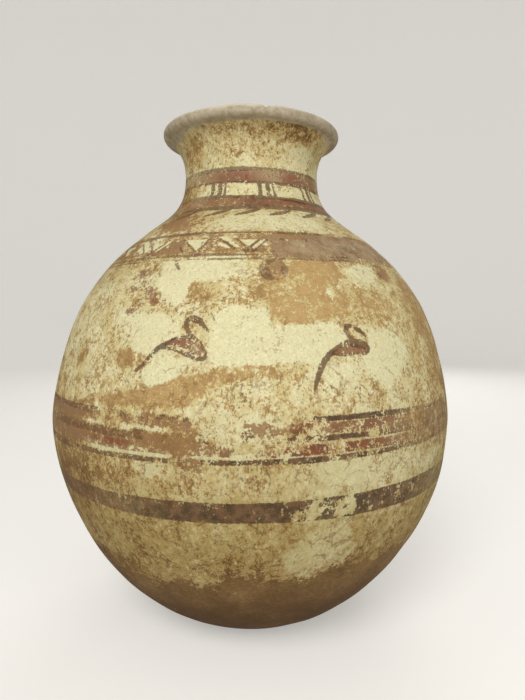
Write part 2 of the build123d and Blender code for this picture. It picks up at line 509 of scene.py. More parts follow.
# Frieze of hanging triangles on the shoulder, in pairs of a nested one and a plain one
FRIEZE_LOW = 350.2
FRIEZE_HIGH = 367.8
FRIEZE_WASH = 0.54
FRIEZE_PAIRS = 10
PALE_SLIP = 0.55
UNDER_TIP = [[(-5.0, -4.5, 1.2), (0.5, -6.0, 2.0), (6.0, -5.0, 1.2)]]
Hanging = namedtuple("Hanging", "first tip pale dark")
TRIANGLES = [
    Hanging(-1.0, 355.6, [
        [(-3.2, 361.6), (3.0, 361.6), (0.0, 355.6)],
        [(-11.5, 365.2), (-8.0, 364.4), (-2.6, 354.8), (-4.2, 354.4), (-7.5, 360.0)],
        [(-11.0, 359.8), (-9.0, 359.0), (-5.5, 354.2), (-7.5, 354.0), (-10.4, 357.0)],
        [(5.6, 361.2), (4.2, 360.8), (0.9, 354.4), (2.2, 354.0)],
    ], [
        [(-10.0, 9.3, 1.2), (-5.4, 4.0, 1.0), (-1.4, -1.5, 1.1)],
        [(7.8, 7.8, 1.1), (4.4, 3.6, 0.9), (1.4, -1.2, 1.1)],
        [(-24.7, 10.0, 1.1), (-17.0, 3.4, 1.0), (-11.3, -2.9, 1.1)],
        [(15.5, 8.6, 1.1), (10.6, 2.8, 0.9), (6.1, -2.9, 1.1)],
        [(0.0, -1.0, 1.2), (-0.5, -4.5, 0.9)],
        [(-3.5, -4.0, 0.9), (-1.8, -8.0, 0.7)],
        [(2.6, -3.6, 0.9), (3.8, -7.6, 0.7)],
    ]),
    Hanging(-18.5, 353.5, [
        [(-6.5, 362.6), (2.4, 362.4), (0.6, 354.6), (-0.4, 353.4)],
        [(-10.5, 363.0), (-9.3, 362.6), (-6.4, 356.6), (-7.6, 356.8)],
        [(-14.5, 361.6), (-12.5, 362.4), (-12.0, 356.4), (-14.0, 357.0)],
    ], [
        [(-16.9, 13.5, 1.2), (-9.0, 6.0, 1.0), (-1.9, -1.3, 1.1)],
        [(7.0, 13.2, 1.2), (5.0, 6.2, 1.0), (2.8, -0.7, 1.1)],
        [(2.1, 8.8, 1.2), (2.0, 5.0, 1.0)],
        [(-22.5, 12.0, 1.0), (-17.0, 4.4, 0.9), (-13.0, -1.5, 1.0)],
    ]),
]

# Roundels between the frieze and the birds
ROUNDEL_HEIGHT = 336.0
ROUNDEL_ANGLES = [6.5, 47.0, 88.0, 129.0, 170.0, 211.0, 252.0, 290.0]
ROUNDEL = [
    [(1.5, 9.6, 0.8), (-5.0, 7.8, 2.8), (-7.8, 1.2, 4.2), (-6.2, -6.0, 3.4), (-0.5, -9.8, 1.2)],
    [(1.5, 10.0, 0.8), (7.4, 7.2, 0.9), (10.0, 0.5, 0.9), (7.6, -6.8, 0.6), (-0.5, -10.2, 0.8)],
    [(6.6, 1.8, 1.9), (7.2, -2.4, 2.2)],
]

# Two drawings of a small long-necked bird, set in turn round the shoulder
BIRD_ANGLES = round_the_jar(9, -15.5)
STOOPING_ANGLES = BIRD_ANGLES[::2]
STRIDING_ANGLES = BIRD_ANGLES[1::2]
STOOPING_HEIGHT = 280.0
STOOPING_DARK = [
    [(-37.4, -21.0, 1.2), (-30.9, -14.7, 1.9), (-26.0, -8.4, 2.1), (-21.1, -3.2, 2.1), (-14.6, 1.0, 1.7)],
    [(-14.6, 1.0, 1.4), (-8.8, 4.6, 0.8), (-3.2, 6.0, 0.7), (2.3, 5.8, 1.2)],
    [(-18.0, -2.6, 1.3), (-8.3, -3.4, 1.5), (-0.4, -6.0, 1.9), (7.0, -8.8, 2.0), (13.4, -10.6, 1.8),
     (16.6, -9.2, 1.3)],
    [(16.6, -9.2, 1.3), (16.0, -5.6, 1.2), (13.4, -1.0, 1.3), (9.4, 3.0, 1.4), (5.2, 6.3, 1.6)],
    [(4.6, 5.3, 2.1), (1.8, 10.0, 1.9), (-0.4, 14.4, 1.9), (-0.6, 18.0, 2.0), (2.0, 20.2, 2.2),
     (5.5, 20.4, 2.4)],
    [(5.5, 20.4, 2.4), (9.4, 18.4, 2.6), (12.0, 15.6, 1.9)],
    [(12.0, 15.6, 1.7), (14.4, 13.0, 1.5), (17.0, 10.4, 1.2)],
]
STOOPING_RED = [
    [(-15.0, 0.2, 1.3), (-9.0, 1.8, 2.8), (-2.0, 1.4, 4.0), (4.0, 0.0, 3.6)],
    [(3.0, 1.0, 4.2), (8.0, -2.6, 4.2), (12.5, -6.6, 2.6)],
    [(4.0, 18.6, 1.6), (8.8, 17.4, 1.6)],
]
STRIDING_HEIGHT = 278.0
STRIDING_DARK = [
    [(-35.1, -31.5, 1.0), (-33.2, -26.3, 1.6), (-30.9, -20.0, 2.1), (-27.6, -13.7, 2.3),
     (-24.1, -8.4, 2.2), (-19.5, -4.2, 2.0)],
    [(-19.5, -4.2, 1.8), (-13.0, 0.0, 1.7), (-6.5, 2.8, 1.7), (0.0, 4.2, 1.9), (7.5, 3.2, 1.7),
     (13.0, 0.0, 1.5)],
    [(-19.5, -5.5, 1.0), (-9.8, -6.6, 0.8), (0.0, -6.0, 0.8), (9.8, -6.3, 0.9), (13.0, -3.7, 1.2)],
    [(13.0, -3.7, 1.3), (13.6, -2.0, 1.5), (13.0, 0.0, 1.5)],
    [(0.0, 4.7, 2.0), (-2.6, 8.4, 1.7), (-4.2, 12.1, 1.9), (-3.3, 15.2, 2.1), (0.7, 16.3, 1.4)],
    [(5.2, 13.7, 1.8), (9.1, 11.6, 1.8), (13.3, 8.0, 1.3)],
    [(-1.0, 1.5, 1.8), (5.0, 0.8, 2.4), (10.0, -1.5, 1.6)],
]
STRIDING_RED = [
    [(-18.0, -4.6, 1.4), (-10.0, -2.8, 3.2), (-2.0, -1.8, 3.8), (6.0, -2.6, 3.2), (11.0, -3.4, 1.8)],
]

# Remains of a worn motif on the left shoulder
REMAINS_ANGLE = -31.0
REMAINS_HEIGHT = 325.0
REMAINS_RED = [
    [(-19.0, -4.4, 3.4), (-13.0, -1.6, 5.0), (-6.2, 0.2, 5.2), (2.3, -4.3, 4.6), (9.1, -10.1, 4.6),
     (14.2, -16.0, 3.2)],
    [(-17.5, 9.0, 3.6), (-12.0, 11.4, 6.0), (-7.5, 10.8, 5.8), (-3.0, 14.6, 4.4), (-1.2, 21.0, 2.4)],
    [(-7.0, -23.4, 3.8), (-1.4, -19.0, 3.8), (1.0, -13.0, 2.6)],
]
REMAINS_DARK = [
    [(18.5, 25.2, 1.2), (22.6, 19.0, 1.4), (25.8, 15.0, 1.0)],
    [(7.9, 14.0, 1.2), (10.6, 7.2, 0.9)],
]

# Which drawings are in which paint, and how far from its middle each can reach
SMALL_REACH = 16.0
ROUNDEL_REACH = 18.0
TRIANGLE_REACH = 32.0
BIRD_REACH = 55.0
DARK_MOTIFS = [
    Motif(PANEL_STROKES, PANEL_ANGLES, PANEL_HEIGHT, SMALL_REACH),
    Motif(DASH, DASH_ANGLES, DASH_HEIGHT, SMALL_REACH),
    Motif(ROUNDEL, ROUNDEL_ANGLES, ROUNDEL_HEIGHT, ROUNDEL_REACH),
    Motif(STOOPING_DARK, STOOPING_ANGLES, STOOPING_HEIGHT, BIRD_REACH),
    Motif(STRIDING_DARK, STRIDING_ANGLES, STRIDING_HEIGHT, BIRD_REACH),
    Motif(REMAINS_DARK, [REMAINS_ANGLE], REMAINS_HEIGHT, BIRD_REACH),
]
RED_MOTIFS = [
    Motif(STOOPING_RED, STOOPING_ANGLES, STOOPING_HEIGHT, BIRD_REACH),
    Motif(STRIDING_RED, STRIDING_ANGLES, STRIDING_HEIGHT, BIRD_REACH),
    Motif(REMAINS_RED, [REMAINS_ANGLE], REMAINS_HEIGHT, BIRD_REACH),
]
for triangle in TRIANGLES:
    triangle_angles = round_the_jar(FRIEZE_PAIRS, triangle.first)
    DARK_MOTIFS.append(Motif(triangle.dark, triangle_angles, triangle.tip, TRIANGLE_REACH))
    RED_MOTIFS.append(Motif(UNDER_TIP, triangle_angles, triangle.tip, SMALL_REACH))


def places_of(mesh):
    """Place of each point of a mesh, in metres."""
    place = np.empty(len(mesh.vertices) * 3, np.float32)
    mesh.vertices.foreach_get("co", place)
    return place.reshape(-1, 3)


def skin_of(mesh):
    """Where each point of a piece lies on the jar."""
    x, y, z = places_of(mesh).T / MM
    return Skin(np.degrees(np.arctan2(x, -y)), z, run_at(z))


def apart(angle, other):
    """Angle from one place round the jar to another, the short way."""
    return (angle - other + 180) % 360 - 180


def wobble(angle, size, turn):
    """Slow unsteadiness of the hand as the jar is turned past the brush."""
    a = np.radians(angle)
    waves = [part * np.sin(count * a + turn * shift) for count, part, shift in HAND_WAVES]
    return size * sum(waves) / WAVES_TOGETHER


def band_gap(skin, band, turn):
    """Distance to a line round the jar."""
    aside = np.sin(np.radians(skin.angle))
    low = band.low + band.low_tilt * aside + wobble(skin.angle, LINE_WOBBLE, turn)
    high = band.high + band.high_tilt * aside + wobble(skin.angle, LINE_WOBBLE, turn + UPPER_EDGE_TURN)
    return np.maximum(run_at(low) - skin.run, skin.run - run_at(high))


def eased_stroke(stroke):
    """Closer marks of a brush stroke, on a smooth curve through its own."""
    marks = np.array(stroke, float)
    padded = np.vstack([2 * marks[0] - marks[1], marks, 2 * marks[-1] - marks[-2]])
    line = []
    for a, b, c, d in zip(padded, padded[1:], padded[2:], padded[3:]):
        for t in np.arange(STROKE_PARTS) / STROKE_PARTS:
            line.append(0.5 * (2 * b + (c - a) * t + (2 * a - 5 * b + 4 * c - d) * t**2
                               + (3 * b - a - 3 * c + d) * t**3))
    line.append(marks[-1])
    return np.array(line)


def nearest(across, up, start, end):
    """How far along a straight line the place nearest to each point is, and how far off."""
    run_x = end[0] - start[0]
    run_y = end[1] - start[1]
    from_x = across - start[0]
    from_y = up - start[1]
    along = np.clip((from_x * run_x + from_y * run_y) / max(run_x**2 + run_y**2, TINY), 0, 1)
    return along, np.hypot(from_x - along * run_x, from_y - along * run_y)


def brush_gap(across, up, stroke):
    """Distance to the edge of a brush stroke."""
    gap = np.full(across.shape, FAR)
    line = eased_stroke(stroke)
    for start, end in zip(line, line[1:]):
        along, off = nearest(across, up, start, end)
        gap = np.minimum(gap, off - start[2] - (end[2] - start[2]) * along)
    return gap


def motif_gap(skin, motif, angle):
    """Distance to a drawing set on the wall with its middle at an angle."""
    across = radius_at(motif.height) * np.radians(apart(skin.angle, angle))
    up = skin.run - run_at(motif.height)
    near = (np.abs(across) < motif.reach) & (np.abs(up) < motif.reach)
    gap = np.full(across.shape, FAR)
    if near.any():
        gaps = [brush_gap(across[near], up[near], stroke) for stroke in motif.strokes]
        gap[near] = np.minimum.reduce(gaps)
    return gap


def drawn_gap(skin, bands, turn, motifs):
    """Distance to the nearest edge of one colour of paint."""
    gaps = [band_gap(skin, band, turn + i) for i, band in enumerate(bands)]
    gaps += [motif_gap(skin, motif, angle) for motif in motifs for angle in motif.angles]
    return np.minimum.reduce(gaps)


# Wear: how much slip and paint is left, place by place
Area = namedtuple("Area", "amount corners")
AREA_EDGE = 4.0
BARE_BELOW = 0.5
PAINT_EDGE = 1.2

# Waves in a turn, how they climb and the size of each, for ragged edges
WALL_WAVES = [(29, 0.13, 1.0), (-43, 0.21, 0.9), (71, 0.35, 0.8), (-103, 0.52, 0.6), (163, -0.8, 0.45)]

# Ragged lower edge of the slip by angle, and how the slip thickens above it
EDGE_WANDER = 9.0
EDGE_RAGGED = 2.0
SLIP_FADE = [(-9, 0.0), (-1, 0.6), (5, 0.82), (28, 1.0)]
SLIP_EDGE = [
    (-75, 92), (-60, 80), (-40, 83), (-29, 85), (-22, 91), (-16, 96), (-14, 87), (-9, 94), (-6, 106),
    (-2, 98), (5, 102), (14, 94), (21, 107), (33, 103), (40, 105), (60, 98), (75, 92),
]

# How much slip is left, by height, in areas with a crisp edge and in soft patches
SLIP_SHARES = [
    (0, 0.46), (172, 0.58), (240, 0.66), (335, 0.64), (346, 0.5), (368, 0.5), (374, 0.7), (392, 0.66),
    (407, 0.7), (409, 0.83), (419, 0.83), (422, 0.8), (436, 0.76), (452, 0.62), (462, 0.57),
    (471, 0.55), (475, 0.4),
]
# How soft the edges of its holes are
SOFT_SHARES = [
    (0, 0.6), (150, 0.5), (175, 0.28), (230, 0.22), (250, 0.13), (345, 0.1), (375, 0.3), (396, 0.2),
    (405, 0.12), (440, 0.13), (462, 0.2), (476, 0.4),
]
SLIP_AREAS = [
    # clean slip between the two birds, then round them and left of the frieze
    Area(0.48, [(-8.5, 297), (-8, 304), (-5, 307.5), (3, 306.5), (4, 304), (4.2, 294.5), (10, 294),
                (18, 295.5), (22, 292), (23, 281), (18, 274), (15, 266.5), (9, 268.5), (3, 267),
                (-3, 265), (-7, 267), (-9.5, 272), (-9, 285)]),
    Area(0.42, [(-31, 345), (-22, 345.5), (-13, 343), (-15, 332), (-17, 322), (-19, 309), (-24, 315),
                (-28, 326), (-26.5, 333)]),
    Area(0.38, [(-34, 299), (-24, 303), (-18, 295), (-16, 285), (-21, 281), (-23, 273), (-28, 271),
                (-30, 280)]),
    Area(0.4, [(-21, 276), (-14, 267), (-16, 260), (-20, 250), (-24, 251), (-25, 260)]),
    Area(0.34, [(29, 338), (38, 343), (47, 341), (39, 329), (31, 326)]),
    Area(0.34, [(30, 291), (37, 287), (43, 276), (40, 262), (34, 248), (29, 252), (26, 265), (29, 277)]),
    Area(0.2, [(17, 264), (21, 266), (26, 262), (25, 249), (20, 245), (16, 251)]),
    Area(0.34, [(-20, 348), (-2, 347), (-2, 332), (-10, 327), (-17, 328)]),
    Area(0.4, [(-46, 373), (-39, 371), (-35.5, 363), (-38, 356), (-48, 354)]),
    # worn through to the clay round the roundel, and in spots to both sides
    Area(-0.37, [(4, 294), (4, 310), (-1, 315), (-2, 326), (3, 329), (10, 330), (12, 344.5),
                 (27, 344.5), (27, 333), (20, 320), (22, 306), (19, 296)]),
    Area(-0.26, [(22, 322), (33, 325), (41, 315), (42, 298), (31, 294), (21, 295)]),
    Area(-0.22, [(-18, 324), (-11, 328), (-6, 322), (-8, 312), (-15, 311)]),
    Area(-0.5, [(-33, 278), (-29, 276), (-28.5, 264), (-31, 260), (-34, 266)]),
    Area(-0.4, [(-50, 274), (-46, 272), (-46, 262), (-51, 262)]),
    # arch of bare clay from the left up under the birds
    Area(-0.5, [(-46, 232), (-34, 243), (-24, 247.5), (-17, 255), (-12, 260), (-6, 263), (-4, 255),
                (-10, 245), (-14, 236), (-24, 232), (-34, 233)]),
    Area(-0.2, [(-6, 263), (4, 265.5), (13, 266), (13, 259), (4, 258.5), (-4, 255)]),
    # worn right flank, running on round the side
    Area(-0.2, [(52, 330), (62, 338), (84, 322), (96, 300), (90, 268), (101, 246), (88, 236), (58, 233),
                (49, 246), (54, 280), (48, 305)]),
    # belly: the bright line between the bands, and flakes of slip
    Area(1.0, [(-40, 205), (-30, 204.6), (-28.6, 202), (-30, 199), (-37, 199.4)]),
    Area(0.9, [(-27.6, 204.2), (-18, 204.2), (-17, 201), (-19, 198.6), (-27, 199)]),
    Area(0.7, [(-13, 203.6), (-2, 202.4), (10, 203), (10, 201), (-2, 200.2), (-12, 199.8)]),
    Area(0.9, [(-43, 220.4), (-36, 220.8), (-36, 218.4), (-42, 218.4)]),
    Area(0.9, [(-29, 220.6), (-22, 220.9), (-17, 220), (-17, 217.8), (-24, 218), (-29, 218)]),
    Area(0.5, [(-39, 237), (-37, 238), (-36.5, 229), (-39, 229)]),
    Area(0.45, [(-26, 196), (-21, 195), (-20, 187), (-24, 183), (-27, 189)]),
    Area(0.3, [(15, 196), (27, 197), (28, 182), (22, 176), (14, 184)]),
    # greenish slip left low on the right of the front
    Area(0.36, [(7, 121), (13, 141), (22, 143), (27, 122), (23, 108), (15, 96), (9, 106)]),
]
SLIP_PATCHES = [
    Patch(-2, 222, 8, 12, 0.2), Patch(22, 187, 18, 12, 0.18), Patch(24, 172, 10, 8, 0.12),
    Patch(-36, 182, 20, 12, -0.16), Patch(17, 160, 8, 14, 0.3), Patch(-36, 216, 24, 14, -0.3),
    Patch(-17, 214, 5, 14, -0.4), Patch(64, 260, 12, 90, -0.16), Patch(-60, 190, 20, 60, -0.45),
    Patch(50, 215, 12, 20, -0.3), Patch(-38, 384, 14, 12, -0.5), Patch(12, 381, 28, 10, 0.2),
    Patch(-52, 452, 14, 14, -0.4), Patch(34, 468, 26, 10, -0.32), Patch(66, 452, 12, 16, -0.12),
    Patch(44, 446, 14, 12, 0.14), Patch(-60, 415, 18, 10, -0.5), Patch(-44, 140, 20, 30, -0.1),
    Patch(19, 338, 8, 7, -0.14), Patch(50, 377, 15, 13, -0.28), Patch(42, 181, 16, 12, 0.14),
    Patch(-48, 92, 20, 14, -0.35), Patch(50, 296, 11, 50, -0.12),
]

# How warm the clay is, from brown to orange
WARM_SHARES = [
    (0, 0.0), (40, 0.04), (75, 0.16), (95, 0.3), (150, 0.36), (300, 0.42), (400, 0.4), (440, 0.3),
    (476, 0.34),
]
WARM_PATCHES = [
    Patch(12, 306, 12, 14, 0.5), Patch(16, 332, 15, 15, 0.5), Patch(-20, 246, 20, 13, 0.42),
    Patch(34, 310, 12, 14, 0.25), Patch(4, 262, 12, 6, 0.3), Patch(34, 470, 22, 9, -0.3),
    Patch(-31, 270, 4, 8, 0.15), Patch(52, 290, 15, 55, 0.3),
]

# How much of the paint is left
KEPT_SHARES = [
    (0, 0.95), (145, 0.95), (175, 0.88), (190, 0.67), (235, 0.66), (245, 0.76), (330, 0.8), (344, 0.84),
    (346, 0.78), (371, 0.78), (380, 0.78), (396, 0.96), (407, 0.96), (409, 0.8), (420, 0.8),
    (422, 0.94), (436, 0.9), (486, 0.8),
]
KEPT_AREAS = [
    # paint lost from the belly bands in the middle of the front, and one line that is kept
    Area(-0.65, [(-13, 232), (2, 232), (2, 217.6), (-13, 217.6)]),
    Area(-0.6, [(2, 232), (12.5, 232), (13, 226), (2, 226)]),
    Area(-0.5, [(2, 226), (7.6, 226), (8.2, 217.6), (2, 217.6)]),
    Area(-0.55, [(-12, 217.6), (5, 217.6), (5, 210.6), (-12, 210.6)]),
    Area(-0.3, [(5, 217.4), (15.6, 217.4), (15.6, 210.6), (5, 210.6)]),
    Area(-0.65, [(-4.6, 210.6), (8, 210.6), (8, 201.2), (-4.6, 201.2)]),
    Area(-0.4, [(8, 211), (12, 211), (12, 206), (8, 206)]),
    Area(-0.6, [(16.4, 211), (20, 210), (19.4, 195), (16, 195)]),
    Area(-0.4, [(3.6, 200.8), (8, 200.8), (8, 194), (3.6, 194)]),
    Area(-0.5, [(-6, 200.8), (-4.6, 200.8), (-4.6, 194), (-6, 194)]),
    Area(-0.5, [(12.5, 226), (15.6, 226), (15.6, 217.6), (12.5, 217.6)]),
    Area(0.2, [(13, 230), (36, 231), (36, 225), (13, 225.6)]),
    Area(-0.34, [(15.6, 225.6), (25.5, 225.6), (25.5, 217.6), (15.6, 217.6)]),
    Area(-0.65, [(25.6, 217.6), (28.4, 217.6), (28.4, 210.6), (26, 210.6)]),
    # flakes lost from the wide band
    Area(-0.8, [(8.7, 154.6), (8.9, 158.6), (9.8, 160), (11, 157), (10.6, 154.6), (9.5, 153)]),
    Area(-0.9, [(12.3, 157.6), (13.2, 168), (14.8, 168), (14.7, 163), (16.1, 160.4), (15.7, 157.6),
                (13.2, 152.6), (11.9, 152)]),
    Area(-0.8, [(17.5, 165.6), (18, 166.8), (19.5, 165.4), (19.8, 162.4), (18.6, 163.4)]),
    Area(-0.8, [(16.3, 161.4), (17.6, 162.6), (19.6, 161), (19.7, 159.4), (16.6, 160)]),
    Area(-0.8, [(17.9, 154.4), (20.3, 158), (21.2, 158), (23.2, 154.8), (23.8, 151.4), (21.4, 154),
                (19.7, 152.4)]),
    Area(-0.9, [(21, 165.2), (22.2, 168.8), (23.3, 165), (23.6, 158), (23.2, 153.4), (22.3, 155),
                (22.4, 161)]),
    Area(-0.8, [(26, 160.2), (27.1, 161.6), (28, 160.2), (27.3, 158.2)]),
    Area(-0.8, [(27.2, 157), (28.4, 157), (28.2, 153.4), (27.2, 153.4)]),
    # paint lost under the brown film of the frieze
    Area(-0.8, [(6.5, 346), (7.5, 361), (24, 361), (30, 369), (62, 366), (62, 348), (44, 345),
                (26, 344.6)]),
    # thin line of bare slip between the two left bands, and what is lost left of the middle
    Area(-0.8, [(-44, 221), (-36, 221), (-29, 221), (-17, 220.6), (-17, 217.8), (-29, 218),
                (-36, 218.2), (-44, 218.6)]),
    Area(-0.6, [(-27.6, 211), (-12, 211), (-12, 204), (-27.6, 204)]),
    Area(-0.45, [(-24, 218), (-12, 218), (-12, 210), (-24, 210)]),
    Area(-0.5, [(-17, 200), (-11, 200), (-11, 192), (-17, 192)]),
]
KEPT_PATCHES = [
    Patch(19, 160, 10, 13, -0.16), Patch(38, 161, 8, 10, -0.14), Patch(31, 347, 4, 3, 0.7),
    Patch(-58, 285, 10, 36, -0.9), Patch(64, 285, 14, 40, -0.9), Patch(47, 336, 8, 12, -0.5),
    Patch(-58, 380, 20, 20, -0.2), Patch(-33, 326, 10, 22, -0.33), Patch(-23.5, 268, 5, 10, -0.22),
    Patch(-28, 226, 14, 5, -0.3), Patch(9, 204, 4, 5, 0.1), Patch(20, 214, 5, 4, 0.24),
    Patch(-18.5, 283, 3, 5, -0.05), Patch(15.5, 261, 6, 18, 0.22), Patch(24.5, 281, 6, 12, 0.12),
    Patch(4, 198, 16, 4, 0.2), Patch(-14, 296, 5, 9, 0.14), Patch(24, 222, 10, 4, 0.14),
]

# How thick the paint is that is left
BODY_SHARES = [
    (0, 0.89), (145, 0.89), (175, 0.94), (190, 0.94), (235, 0.94), (245, 0.88), (340, 0.85),
    (346, 0.76), (371, 0.76), (380, 0.84), (396, 0.84), (431, 0.86), (434, 0.8), (486, 0.7),
]
BODY_PATCHES = [
    Patch(-44, 214, 32, 24, -0.08), Patch(-46, 158, 24, 14, -0.25), Patch(57, 214, 20, 27, -0.5),
    Patch(17, 428, 10, 6, -0.2), Patch(-60, 415, 22, 26, -0.35), Patch(60, 160, 16, 18, -0.42),
    Patch(44, 162, 10, 14, -0.05), Patch(-33, 326, 12, 20, -0.16),
]

# How far the paint has browned with age
BROWNED_SHARES = [
    (0, 0.0), (145, 0.0), (175, 0.0), (190, 0.05), (235, 0.1), (245, 0.5), (330, 0.4), (345, 0.8),
    (372, 0.8), (380, 0.7), (396, 0.5), (407, 0.45), (420, 0.45), (436, 0.9), (486, 0.9),
]
BROWNED_PATCHES = [
    Patch(-44, 214, 32, 28, 0.85), Patch(-15, 214, 6, 24, 0.6), Patch(53, 214, 25, 24, 1.0),
    Patch(20, 222, 5, 4, 0.5), Patch(5, 222, 4, 5, 0.7), Patch(33, 214, 4, 4, 0.6),
    Patch(-7, 206, 4, 5, 0.5), Patch(-52, 158, 28, 16, 0.45), Patch(68, 160, 18, 16, 0.4),
    Patch(-14, 427, 15, 6, -0.8), Patch(34, 427, 12, 6, -0.65), Patch(4, 402, 11, 5, -0.9),
    Patch(36, 402, 22, 5, -0.55), Patch(-33, 208, 6, 4, -0.7), Patch(-10, 354, 3, 3, -0.7),
    Patch(1, 352, 3, 2, -0.7), Patch(-33, 328, 10, 22, -0.36), Patch(15, 364, 6, 3, -0.5),
    Patch(-12, 277, 2.4, 8, 0.45), Patch(-18, 282, 5, 7, -0.4),
]

# Thin brown films of paint and where they turn mauve
WASH_AREAS = [
    # thick brown film over the right half of the frieze
    Area(0.85, [(6.5, 346), (7.5, 358), (7, 366), (10, 369.4), (24, 369.4), (44, 368), (62, 366),
                (62, 348), (44, 345), (26, 344.6), (12, 345.4)]),
    # brown film on the left of the belly
    Area(0.58, [(-66, 231), (-50, 230), (-34, 230), (-22, 230.6), (-13, 230), (-12, 221.6),
                (-28, 221.4), (-44, 221.6), (-66, 221)]),
    Area(0.58, [(-66, 217.4), (-34, 217.6), (-18, 217), (-10, 216), (-10, 205), (-17, 205),
                (-27, 205.4), (-40, 205.6), (-66, 204)]),
    Area(0.5, [(-17, 204), (-14, 204), (-11, 198), (-11, 190), (-15, 190)]),
    # orange film between the dark lines, from the middle to the right
    Area(0.66, [(-2, 226.4), (8, 227), (15.6, 226), (24, 225), (24, 218), (10, 217.8), (-1, 218)]),
    Area(0.5, [(-3, 208), (4, 208), (4, 201.6), (-3, 201.4)]),
]
WASH_PATCHES = [
    Patch(54, 212, 14, 22, 0.45), Patch(-42, 384, 14, 13, 0.8), Patch(-29, 374, 8, 8, 0.5),
    Patch(17, 428, 10, 6, 0.3), Patch(-52, 158, 20, 12, 0.4), Patch(-30, 354, 6, 6, 0.4),
]
MAUVE_PATCHES = [
    Patch(33, 356, 30, 16, 1.0), Patch(15, 364, 7, 4, -0.5), Patch(52, 213, 18, 22, 0.9),
    Patch(-60, 214, 16, 22, 0.6),
]

# Grime that has settled in the surface, and painted shade: darker towards the bottom and at the sides,
# most low on the left
GRIME_AND_SHADE_SHARES = [
    (0, 1.0), (50, 0.9), (75, 0.35), (95, 0.6), (125, 1.1), (150, 0.9), (175, 0.6), (200, 0.45),
    (225, 0.2), (240, 0.0), (380, 0.1), (395, 0.4), (412, 0.2), (440, 0.2), (462, 0.15), (475, 0.0),
]
# The patches at the sides darken the wall as painted shade as well as grime; the one low on the left, at
# -46 degrees, is painted shade
GRIME_AND_SHADE_PATCHES = [
    Patch(-62, 400, 18, 34, 0.6), Patch(-58, 140, 16, 40, 0.5), Patch(62, 140, 18, 40, 0.2),
    Patch(-60, 345, 16, 22, 0.4), Patch(18, 122, 10, 22, -0.4), Patch(-46, 98, 22, 24, 0.6),
    Patch(36, 165, 16, 30, -0.35),
]

# How open the cracks are
VEINED_SHARES = [
    (0, 0.0), (92, 0.0), (105, 0.8), (148, 0.9), (156, 0.2), (165, 0.2), (172, 0.9), (194, 0.9),
    (206, 0.1), (228, 0.2), (238, 0.95), (258, 0.95), (270, 0.2), (300, 0.1), (340, 0.25), (440, 0.2),
    (470, 0.0),
]

# Lower edge of the bare lip, and how far the bare clay reaches down beside it
LIP_LINE = 472.6
LIP_PATCHES = [Patch(-74, 472, 22, 30, 4.0), Patch(74, 472, 18, 30, 2.5)]

# Wear of the sides and the back, which is scattered
UNSEEN_FROM = 68.0
UNSEEN_PATCHES = 70
UNSEEN_WIDE = (5, 18)
UNSEEN_TALL = (7, 20)

# What the inside has in place of wear
INNER_FROM = 0.02
INSIDE_WARMTH = 0.35
INSIDE_GRIME = 0.3

for roundel_angle in ROUNDEL_ANGLES:
    SLIP_PATCHES.append(Patch(roundel_angle, ROUNDEL_HEIGHT, 3.5, 9.0, -0.5))
    WASH_PATCHES.append(Patch(roundel_angle, ROUNDEL_HEIGHT, 3.2, 9.0, 0.68))
    BODY_PATCHES.append(Patch(roundel_angle, ROUNDEL_HEIGHT, 6.0, 14.0, -0.22))
    MAUVE_PATCHES.append(Patch(roundel_angle, ROUNDEL_HEIGHT, 6.0, 14.0, 0.3))


def patched(skin, patches):
    """Sum of soft-edged patches at each point of the skin."""
    total = np.zeros(len(skin.angle))
    for patch in patches:
        aside = apart(skin.angle, patch.angle) / patch.wide
        above = (skin.height - patch.height) / patch.tall
        total += patch.amount * np.exp(-(aside**2 + above**2)**2)
    return total


def uneven(skin):
    """Smooth unevenness over the wall, about one millimetre either way."""
    turn = np.radians(skin.angle)
    waves = [part * np.sin(count * turn + up * skin.run + count) for count, up, part in WALL_WAVES]
    return sum(waves) / WAVES_TOGETHER


def area_gap(skin, corners):
    """Distance to a patch of the wall with corners given as angle and height, below zero inside it."""
    corners = np.array(corners, float)
    angle, height = corners.mean(axis=0)
    per_degree = np.radians(radius_at(height))
    across = per_degree * apart(skin.angle, angle)
    up = skin.run - run_at(height)
    corners_across = per_degree * (corners[:, 0] - angle)
    corners_up = run_at(corners[:, 1]) - run_at(height)
    points = np.column_stack([corners_across, corners_up])
    reach = np.abs(points).max(axis=0) + 2 * AREA_EDGE
    near = (np.abs(across) < reach[0]) & (np.abs(up) < reach[1])
    x = across[near]
    y = up[near]
    off = np.full(x.shape, FAR)
    within = np.zeros(x.shape, bool)
    for start, end in zip(points, np.roll(points, -1, axis=0)):
        off = np.minimum(off, nearest(x, y, start, end)[1])
        if start[1] != end[1]:
            crossing = start[0] + (y - start[1]) / (end[1] - start[1]) * (end[0] - start[0])
            within ^= ((start[1] > y) != (end[1] > y)) & (x < crossing)
    gap = np.full(across.shape, FAR)
    gap[near] = np.where(within, -off, off)
    return gap


def pale_gap(skin):
    """Distance to the nearest pale part of the frieze."""
    gaps = []
    for triangle in TRIANGLES:
        for angle in round_the_jar(FRIEZE_PAIRS, triangle.first):
            for corners in triangle.pale:
                gaps.append(area_gap(skin, [(turn + angle, height) for turn, height in corners]))
    return np.minimum.reduce(gaps)


def laid(skin, areas):
    """Sum of crisp-edged patches at each point of the skin."""
    ragged = uneven(skin)
    total = np.zeros(len(skin.angle))
    for area in areas:
        total += area.amount * np.clip(0.5 - (area_gap(skin, area.corners) + ragged) / AREA_EDGE, 0, 1)
    return total


def unseen_patches(low, high, least, most):
    """Patches like those in front for the sides and back, from a fixed seed."""
    dice = np.random.default_rng(SEED + int(low))
    made = []
    for _ in range(UNSEEN_PATCHES):
        angle = dice.uniform(UNSEEN_FROM, 360 - UNSEEN_FROM)
        height = dice.uniform(low, high)
        wide = dice.uniform(*UNSEEN_WIDE)
        tall = dice.uniform(*UNSEEN_TALL)
        made.append(Patch(angle, height, wide, tall, dice.uniform(least, most)))
    return made


